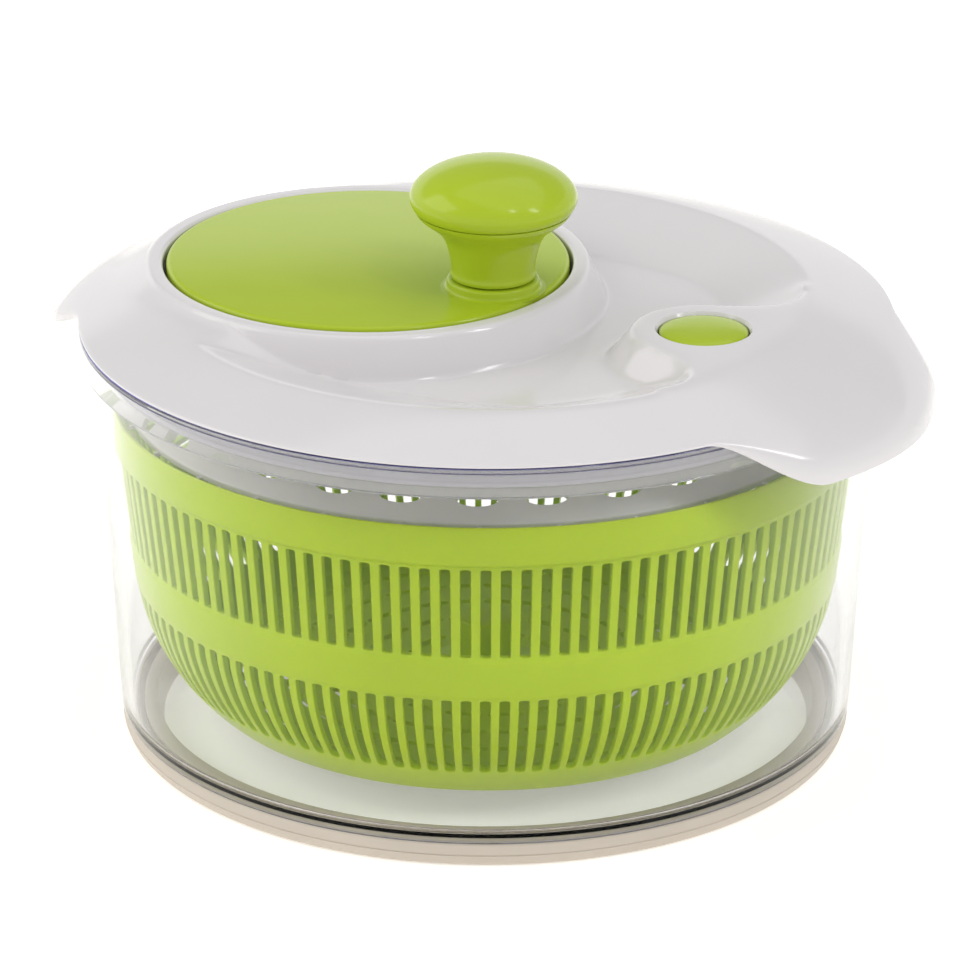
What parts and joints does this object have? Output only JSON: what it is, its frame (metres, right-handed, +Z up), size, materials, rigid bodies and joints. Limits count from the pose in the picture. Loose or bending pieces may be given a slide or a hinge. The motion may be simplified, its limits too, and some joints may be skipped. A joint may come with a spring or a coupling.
{
  "type": "salad spinner",
  "caption": "Kitchen salad spinner: clear bowl, slotted basket, white lid with a geared crank disc, turning knob, brake button, grip and pouring lip.",
  "frame": {"origin": "centre of the foot ring's underside: the bowl's axis on the table plane", "axes": "+Z up along the bowl's axis, +X towards the lid's grip"},
  "size_m": [0.2676, 0.24, 0.1772],
  "materials": {
    "clear_bowl": "clear SAN, polished",
    "foot_rubber": "soft moulded TPE",
    "steel": "turned",
    "bush_plastic": "moulded POM",
    "lime_basket": "moulded polypropylene",
    "white_lid": "polished ABS",
    "white_inner": "moulded ABS",
    "spring_steel": "stamped",
    "lime_crank": "polished ABS",
    "gear_plastic": "moulded POM",
    "plate_plastic": "moulded translucent polypropylene",
    "lime_button": "polished ABS",
    "pad_rubber": "moulded rubber"
  },
  "bodies": {
    "bowl": {"bowl": "clear_bowl", "foot_ring": "foot_rubber", "pivot_pin": "steel"},
    "bush": {"basket_bush": "bush_plastic"},
    "basket": {"basket": "lime_basket"},
    "lid": {"lid_shell": "white_lid", "lid_liner": "white_inner", "liner_screws": "steel", "axle_bush": "bush_plastic", "shaft_bush": "bush_plastic", "brake_spring": "spring_steel"},
    "crank": {"crank_disc": "lime_crank", "ring_gear": "gear_plastic", "gear_screws": "steel", "crank_axle": "steel", "axle_clip": "spring_steel", "knob_spindle": "steel", "knob_screw": "steel"},
    "knob": {"knob_stem": "lime_crank", "knob_head": "lime_crank"},
    "drive": {"drive_plate": "plate_plastic", "drive_shaft": "steel", "drive_pinion": "gear_plastic", "drive_washer": "bush_plastic", "plate_screw": "steel"},
    "brake": {"brake_button": "lime_button", "brake_plunger": "bush_plastic", "brake_pad": "pad_rubber"}
  },
  "joints": [
    {"name": "lid_lift", "type": "slide", "parent": "bowl", "child": "lid", "axis": [0, 0, 1], "range_m": [0, 0.3]},
    {"name": "basket_lift", "type": "slide", "parent": "bowl", "child": "bush", "axis": [0, 0, 1], "range_m": [0, 0.15]},
    {"name": "crank_spin", "type": "hinge", "parent": "lid", "child": "crank", "pos_m": [-0.04, 0, 0.13], "axis": [0, 0, 1], "continuous": true},
    {"name": "knob_spin", "type": "hinge", "parent": "crank", "child": "knob", "pos_m": [0.00438, -0.00443, 0.15], "axis": [0, 0, 1], "continuous": true},
    {"name": "drive_spin", "type": "hinge", "parent": "lid", "child": "drive", "pos_m": [0, 0, 0.12], "axis": [0, 0, 1], "continuous": true},
    {"name": "basket_spin", "type": "hinge", "parent": "bush", "child": "basket", "pos_m": [0, 0, 0.02], "axis": [0, 0, 1], "continuous": true},
    {"name": "brake_press", "type": "slide", "parent": "lid", "child": "brake", "axis": [0, 0, -1], "range_m": [0, 0.004], "stiffness_N_per_m": 300, "springref_m": -0.004, "deforming": ["brake_spring"]}
  ],
  "couplings": [
    {"joint": "basket_lift", "follows": "lid_lift", "ratio": 0.5},
    {"joint": "drive_spin", "follows": "crank_spin", "ratio": 5},
    {"joint": "basket_spin", "follows": "crank_spin", "ratio": 5}
  ]
}
